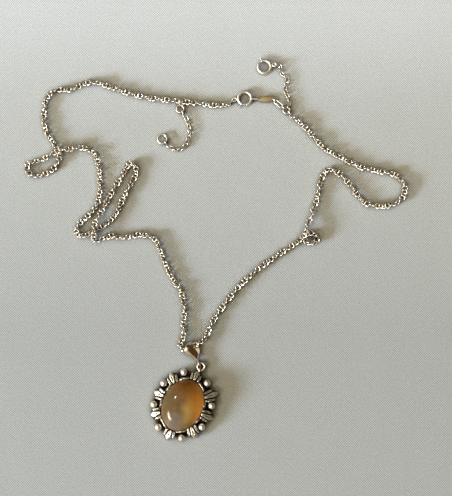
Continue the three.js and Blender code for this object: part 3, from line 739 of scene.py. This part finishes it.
def make_bail():
    """A strap folded over the chain, domed with a soft keel on its outside, broad at the fold and narrow at the
    eye.
    """
    axis = np.array(JOINT["bail_swing"]["axis"])
    axis /= np.linalg.norm(axis)
    lengthwise = np.cross([0, 0, 1.0], axis)
    eye, _, _ = own_axes("bail_eye")
    origin = np.array([eye[0], eye[1], 0.0]) - 0.05 * lengthwise
    count, across = 120, 33
    outer = teardrop((6.4, 1.68), 1.58, (1.75, 1.25), 0.5, count)
    inner = teardrop((6.4, 1.68), 1.24, (2.9, 1.4), 0.18, count)

    def half_width(along):
        """The strap is widest just before the fold and draws in to the eye."""
        if along > 5.1:
            return 1.72 * math.sqrt(1 - min(0.9, (along - 5.1) / 3.1) ** 2)
        return 0.36 + 1.36 * math.sin(math.pi / 2 * max(0.0, (along - 0.9) / 4.2)) ** 1.25

    def relief(v, along):
        """A domed strap with a soft keel that runs out of the dome down to the eye."""
        keel = 0.10 * math.exp(-((v - 0.12) / 0.16) ** 2) * min(1.0, max(0.0, (7.2 - along) / 2.5))
        return 0.62 * (1 - v * v) + keel - 0.36

    vertices = []
    tangent = np.roll(outer, -1, axis=0) - np.roll(outer, 1, axis=0)
    normal = np.stack([tangent[:, 1], -tangent[:, 0]], axis=1)
    normal /= np.linalg.norm(normal, axis=1)[:, None]
    for i in range(count):
        for side, loop in ((0, outer), (1, inner)):
            for k in range(across):
                v = (-1 + 2 * k / (across - 1)) * (-1 if side else 1)
                along, z = loop[i]
                if not side:
                    along, z = loop[i] + normal[i] * relief(v, along) * (1 if z > 1.3 else 0.3)
                lean = -0.8 * (z - 1.68) * min(1.0, max(0.0, (along - 1.0) / 3))
                point = origin + lengthwise * along + axis * (v * half_width(loop[i][0]) + lean)
                vertices.append((point[0], point[1], max(0.02, z)))
    bail = add_mesh("bail_strap", vertices, quads(count, 2 * across, closed=True), BAIL_SILVER)
    soften(bail, 60)
    stands_for(bail, "bail")


# ---- Pendant ------------------------------------------------------------------------------------

STONE_ACROSS, STONE_ALONG = 7.1, 9.4
LEAF_TIPS = [
    (0, 12.9), (9.4, 8.9), (11.7, 0), (9.1, -8.6), (0, -13.2), (-8.7, -8.0), (-11.2, 0), (-8.7, 8.3),
]
SEAT = 1.0                           # top of the back plate plus its solder
PLATE_TOP = 0.9
LEAVES = len(LEAF_TIPS)


def turned(x, y, z):
    """A point of the pendant's own upright frame, in the row frame."""
    c, s = math.cos(PENDANT_TILT), math.sin(PENDANT_TILT)
    return (x * c - y * s, x * s + y * c, z)


def on_ellipse(a, b, angle):
    return np.array([a * math.cos(angle), b * math.sin(angle)])


def make_stone():
    """A polished oval cabochon: a low girdle, then a smooth dome."""
    foot, count = SEAT + 0.1, 128
    girdle, dome = foot + 1.0, 4.1
    profile = [(0.97, foot), (1.0, foot + 0.12), (1.0, girdle)]
    for k in range(1, 32):
        rise = math.pi / 2 * k / 32
        profile.append((math.cos(rise) ** 0.92, girdle + dome * math.sin(rise)))
    rings = [[turned(*on_ellipse(STONE_ACROSS * r, STONE_ALONG * r, TAU * k / count), z)
              for k in range(count)] for r, z in profile]
    vertices, faces = ringed_solid(rings, turned(0, 0, foot), turned(0, 0, girdle + dome))
    stone = add_mesh("cabochon", vertices, faces, AMBER)
    soften(stone, 50)
    stands_for(stone, "stone")


def make_bezel():
    """The collar round the stone: a thin lip pressed over it by hand, lower where a leaf leans on it."""
    count = 480
    a, b = STONE_ACROSS + 0.12, STONE_ALONG + 0.12
    foot = SEAT
    rng = random.Random(11)
    waves = [(n, rng.uniform(0, TAU), rng.uniform(0.4, 1.0)) for n in (5, 9, 14, 23, 31, 44)]
    leaves = [math.atan2(y / b, x / a) for x, y in LEAF_TIPS]
    vertices, faces = [], []
    for k in range(count):
        angle = TAU * k / count
        dent = sum(size * math.sin(n * angle + phase) for n, phase, size in waves) / len(waves)
        near = min(abs((angle - leaf + math.pi) % TAU - math.pi) for leaf in leaves)
        low = math.exp(-(near / 0.25) ** 6)
        top = foot + 2.2 + 0.15 * dent - 1.0 * low
        over = 0.16 + 0.09 * dent - 0.1 * low
        wall = 0.32 + 0.06 * dent - 0.16 * low
        profile = [(0.0, foot), (0.52, foot), (0.54, foot + 0.2), (wall, foot + 0.4), (wall, top - 0.5),
                   (wall - 0.03, top - 0.22), (wall - 0.1, top - 0.05), (wall - 0.2, top + 0.02),
                   (-over * 0.5, top), (-over, top - 0.08), (-over, top - 0.16), (-0.02, top - 0.3)]
        normal = np.array([math.cos(angle) / a, math.sin(angle) / b])
        normal /= np.linalg.norm(normal)
        base = on_ellipse(a, b, angle)
        for out, z in profile:
            x, y = base + normal * out
            vertices.append(turned(x, y, z))
    rows = len(vertices) // count
    for k in range(count):
        m = (k + 1) % count
        for i in range(rows):
            j = (i + 1) % rows
            faces.append((k * rows + i, m * rows + i, m * rows + j, k * rows + j))
    bezel = add_mesh("bezel_lip", vertices, faces, SILVER)
    soften(bezel, 50)
    stands_for(bezel, "bezel")


def make_back_plate():
    """The scalloped ground the leaves and balls stand on, its edge rounded."""
    count = 384
    profile = [(1.0, 0.0), (1.0, 0.06), (1.004, 0.2), (1.004, 0.7), (1.0, 0.84)]
    profile += [(r, PLATE_TOP) for r in (0.985, 0.93, 0.86, 0.7, 0.45)]
    rings = []
    for r, z in profile:
        ring = []
        for k in range(count):
            angle = TAU * k / count
            grow = 0.35 * math.cos(16 * angle)
            ring.append(turned(*on_ellipse((10.3 + grow) * r, (11.5 + grow) * r, angle), z))
        rings.append(ring)
    vertices, faces = ringed_solid(rings, turned(0, 0, 0), turned(0, 0, PLATE_TOP))
    plate = add_mesh("ground_plate", vertices, faces, BLACK_SILVER)
    soften(plate, 40)
    stands_for(plate, "back_plate")


def smooth_loop(corners, per_side):
    """Points on a smooth closed curve through the corners."""
    count = len(corners)
    points = []
    for i in range(count):
        p0, p1, p2, p3 = (np.array(corners[(i + k) % count]) for k in (-1, 0, 1, 2))
        for j in range(per_side):
            t = j / per_side
            points.append(0.5 * (2 * p1 + (p2 - p0) * t + (2 * p0 - 5 * p1 + 4 * p2 - p3) * t * t
                                 + (3 * p1 - p0 - 3 * p2 + p3) * t ** 3))
    return np.array(points)


def distance_to_lines(points, starts, ends):
    """How far each point is from the nearest of some straight pieces."""
    nearest = np.full(len(points), 1e9)
    for start, end in zip(starts, ends):
        run = end - start
        t = np.clip(((points - start) @ run) / (run @ run), 0, 1)
        nearest = np.minimum(nearest, np.linalg.norm(points - start - t[:, None] * run, axis=1))
    return nearest


def make_leaf(index):
    """A cast leaf: a pointed middle lobe between two shorter ones, with raised rims and deep veins."""
    tip = np.array(LEAF_TIPS[index])
    out = tip / np.linalg.norm(tip)
    side = np.array([out[1], -out[0]])
    edge = 1 / math.hypot(out[0] / (STONE_ACROSS + 0.04), out[1] / (STONE_ALONG + 0.04))
    length = np.linalg.norm(tip) - edge
    rng = random.Random(100 + index)
    width = 3.75 + rng.uniform(-0.15, 0.15)
    half = [(0.36, 0.0), (0.47, 0.24), (0.51, 0.47), (0.49, 0.62), (0.42, 0.69), (0.30, 0.58),
            (0.25, 0.70), (0.15, 0.87), (0.05, 0.965)]
    corners = half + [(0.0, 1.0)] + [(-u, v) for u, v in reversed(half)]
    corners = [(u * width * rng.uniform(0.97, 1.03), v * length) for u, v in corners]
    outline = smooth_loop(corners, 9)
    middle = np.array([0.0, 0.42 * length])
    rings = [0.0, 0.12, 0.24, 0.35, 0.45, 0.53, 0.6, 0.66, 0.72, 0.77, 0.82, 0.86, 0.9, 0.935, 0.965,
             0.985, 1.0]
    flat = np.concatenate([middle + s * (outline - middle) for s in rings[1:]] + [middle[None, :]])
    to_rim = distance_to_lines(flat, outline, np.roll(outline, -1, axis=0))
    notch_u, notch_v = 0.28 * width, 0.57 * length
    seams = [(np.array([s * 0.15 * width, 0.0]), np.array([s * notch_u, notch_v])) for s in (-1, 1)]
    to_seam = distance_to_lines(flat, [a for a, _ in seams], [b for _, b in seams])
    veins = [(np.array([s * 0.30 * width, 0.05 * length]), np.array([s * 0.43 * width, 0.5 * length]))
             for s in (-1, 1)]
    veins.append((np.array([0.0, 0.05 * length]), np.array([0.0, 0.62 * length])))
    to_vein = distance_to_lines(flat, [a for a, _ in veins], [b for _, b in veins])
    along = np.clip(flat[:, 1] / length, 0, 1)
    swell = np.clip(np.minimum(to_rim, to_seam) / 0.5, 0, 1)
    height = (1.5 - 0.95 * along ** 1.4 + 0.55 * np.sqrt(1 - (1 - swell) ** 2)
              - 0.85 * np.exp(-(to_seam / 0.13) ** 2) - 0.28 * np.exp(-(to_vein / 0.1) ** 2))
    height = np.maximum(height, 0.25)
    count = len(outline)
    vertices = [turned(*(out * (edge + v) + side * u), SEAT + h) for (u, v), h in zip(flat, height)]
    foot = SEAT - 0.05
    spread = middle + 1.01 * (outline - middle)
    vertices += [turned(*(out * (edge + v) + side * u), foot) for u, v in spread]
    vertices.append(turned(*(out * (edge + middle[1])), foot))
    top_centre, bottom_centre = (len(rings) - 1) * count, len(vertices) - 1
    rim, wall = (len(rings) - 2) * count, top_centre + 1
    faces = []
    for k in range(count):
        m = (k + 1) % count
        faces.append((top_centre, k, m))
        for i in range(len(rings) - 2):
            faces.append((i * count + k, (i + 1) * count + k, (i + 1) * count + m, i * count + m))
        faces.append((rim + k, wall + k, wall + m, rim + m))
        faces.append((bottom_centre, wall + m, wall + k))
    leaf = add_mesh(f"leaf_cast_{index + 1}", vertices, faces, LEAF_SILVER)
    soften(leaf, 60)
    stands_for(leaf, f"leaf_{index + 1}")


def make_bead(index):
    """A soldered silver ball, with a little solder fillet at its foot."""
    node = f"bead_{index + 1}"
    low, high = (np.array(c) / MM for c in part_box(node))
    centre = (low + high) / 2
    radius = 1.2
    rng = random.Random(40 + index)
    profile = [(0.95, low[2] - 0.06), (0.9, low[2] + 0.1), (0.84, low[2] + 0.2)]
    start = math.asin((low[2] + 0.3 - (high[2] - radius)) / radius)
    for k in range(26):
        rise = start + (math.pi / 2 - start) * k / 26
        profile.append((radius * math.cos(rise), high[2] - radius + radius * math.sin(rise)))
    count = 48
    dent = rng.uniform(0, TAU)
    vertices = []
    for r, z in profile:
        for k in range(count):
            a = TAU * k / count
            wobble = 1 + 0.012 * math.cos(2 * a + dent)
            vertices.append((centre[0] + r * wobble * math.cos(a), centre[1] + r * wobble * math.sin(a), z))
    rows = len(profile)
    faces = quads(rows, count)
    vertices.append((centre[0], centre[1], high[2]))
    faces.append(tuple(reversed(range(count))))
    for k in range(count):
        faces.append(((rows - 1) * count + k, (rows - 1) * count + (k + 1) % count, len(vertices) - 1))
    bead = add_mesh(f"silver_ball_{index + 1}", vertices, faces, BEAD_SILVER)
    stands_for(bead, node)


def make_solder_tab():
    """The strap of solder that holds the pendant's loop to its top leaf."""
    loop, _, size = own_axes("frame_loop")
    place = loop - np.array(turned(0, size[0] / 2, 0))
    tab = ball("loop_solder", (place[0], place[1], 1.1), (0.5, 0.5, 0.3), PENDANT_TILT, SILVER)
    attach(tab, "pendant")


# ---- Stage --------------------------------------------------------------------------------------

def make_studio_sky():
    """A dim warm room: bright on the lit side, and a pale patch of ceiling."""
    world = bpy.data.worlds.new("studio")
    bpy.context.scene.world = world
    world.use_nodes = True
    tree = world.node_tree
    background = tree.nodes["Background"]
    background.inputs["Strength"].default_value = 0.8
    coordinates = tree.nodes.new("ShaderNodeTexCoord")

    def patch(direction, stops):
        """A colour that changes with how near the sky is to a direction."""
        nearness = tree.nodes.new("ShaderNodeVectorMath")
        nearness.operation = "DOT_PRODUCT"
        nearness.inputs[1].default_value = direction
        ramp = tree.nodes.new("ShaderNodeValToRGB")
        for element, (place, color) in zip(ramp.color_ramp.elements, stops):
            element.position = place
            element.color = (*color, 1)
        tree.links.new(coordinates.outputs["Generated"], nearness.inputs[0])
        tree.links.new(nearness.outputs["Value"], ramp.inputs["Fac"])
        return ramp.outputs["Color"]

    side = patch((-0.85, -0.20, 0.22), ((0.15, (0.08, 0.05, 0.02)), (0.8, (1.15, 1.0, 0.67))))
    ceiling = patch((-0.2, 0.05, 0.98), ((0.80, (0, 0, 0)), (0.95, (0.66, 0.59, 0.42))))
    both = tree.nodes.new("ShaderNodeMix")
    both.data_type = "RGBA"
    both.blend_type = "ADD"
    both.inputs[0].default_value = 1.0
    tree.links.new(side, both.inputs[6])
    tree.links.new(ceiling, both.inputs[7])
    tree.links.new(both.outputs[2], background.inputs["Color"])


def make_stage():
    bpy.ops.mesh.primitive_plane_add(size=1.6, location=(0.02, 0.05, 0))
    floor = bpy.context.object
    floor.name = "floor"
    floor.data.materials.append(CLOTH)

    def area(name, direction, away, size, energy, color, glossy=True, diffuse=True):
        """A soft rectangular light, seen from the pendant along a direction."""
        data = bpy.data.lights.new(name, "AREA")
        data.shape = "RECTANGLE"
        data.size, data.size_y = size
        data.energy = energy
        data.color = color
        light = bpy.data.objects.new(name, data)
        light.location = Vector(direction).normalized() * away
        light.rotation_euler = (-light.location).to_track_quat("-Z", "Y").to_euler()
        light.visible_glossy = glossy
        light.visible_diffuse = diffuse
        bpy.context.scene.collection.objects.link(light)

    window = (-0.649, -0.356, 0.60)
    area("key", window, 1.6, (0.64, 0.23), 6.4, (1.0, 0.98, 0.94))
    area("sparkle", window, 1.6, (0.64, 0.23), 42.0, (1.0, 0.99, 0.97), diffuse=False)
    area("second", (-0.478, 0.304, 0.824), 0.9, (0.07, 0.07), 0.55, (1.0, 0.98, 0.95))
    area("low", (-0.93, -0.36, 0.28), 1.6, (0.5, 0.24), 54.5, (0.78, 0.95, 1.35), glossy=False)
    make_studio_sky()
    bpy.context.scene.view_settings.view_transform = "Standard"


make_camera()
make_main_chain()
make_tail("safety_links_left", "safety_chain_left", LEFT_TAIL_ROUTE, -0.3, 3)
make_tail("safety_links_right", "safety_chain_right", RIGHT_TAIL_ROUTE, 0.1, 5)
make_wire_pieces()
make_bolt_ring("clasp")
make_bolt_ring("safety_clasp")
make_tag()
make_bail()
make_back_plate()
make_bezel()
make_stone()
for number in range(LEAVES):
    make_leaf(number)
    make_bead(number)
make_solder_tab()
make_stage()
